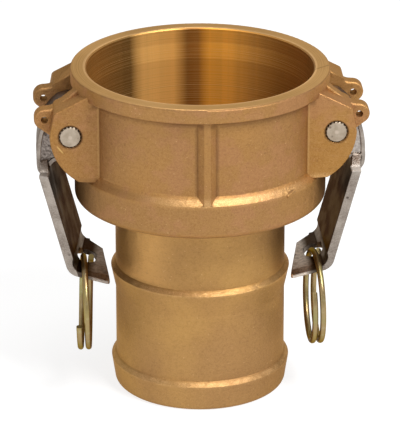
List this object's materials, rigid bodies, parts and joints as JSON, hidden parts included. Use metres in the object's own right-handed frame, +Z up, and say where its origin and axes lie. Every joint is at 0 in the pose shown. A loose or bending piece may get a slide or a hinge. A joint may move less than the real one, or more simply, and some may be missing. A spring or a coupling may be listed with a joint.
{
  "type": "cam and groove coupling",
  "caption": "Brass female cam and groove coupler with a barbed hose shank, folding cam levers with wire pull rings, and a sealing ring in its socket.",
  "frame": {"origin": "centre of the hose shank's end face, on the coupler's axis", "axes": "+Z up the axis towards the socket's mouth, +X through the right-hand lever's pin, +Y towards the back"},
  "size_m": [0.1368, 0.1064, 0.1395],
  "materials": {
    "cast_brass": "sand-cast brass, blasted satin, with a turned socket and mouth",
    "seal_rubber": "matt black moulded rubber",
    "pin_steel": "turned steel with punched ends",
    "lever_steel": "cast stainless steel, tumbled satin",
    "plated_wire": "steel wire, yellow zinc plated, iridescent"
  },
  "bodies": {
    "coupler": {"body": "cast_brass", "gasket": "seal_rubber", "pivot_pin_left": "pin_steel", "pivot_pin_right": "pin_steel"},
    "lever_left": {"cam_arm_left": "lever_steel"},
    "lever_right": {"cam_arm_right": "lever_steel"},
    "ring_left": {"pull_ring_left": "plated_wire"},
    "ring_right": {"pull_ring_right": "plated_wire"}
  },
  "joints": [
    {"name": "lever_left_hinge", "type": "hinge", "parent": "coupler", "child": "lever_left", "pos_m": [-0.054, 0, 0.1186], "axis": [0, 1, 0], "range_deg": [0, 115]},
    {"name": "lever_right_hinge", "type": "hinge", "parent": "coupler", "child": "lever_right", "pos_m": [0.054, 0, 0.1186], "axis": [0, -1, 0], "range_deg": [0, 115]},
    {"name": "ring_left_swing", "type": "hinge", "parent": "lever_left", "child": "ring_left", "pos_m": [-0.0474, 0, 0.0566], "axis": [0, 1, 0], "range_deg": [-2, 30]},
    {"name": "ring_right_swing", "type": "hinge", "parent": "lever_right", "child": "ring_right", "pos_m": [0.0474, 0, 0.0566], "axis": [0, -1, 0], "range_deg": [-2, 30]}
  ]
}
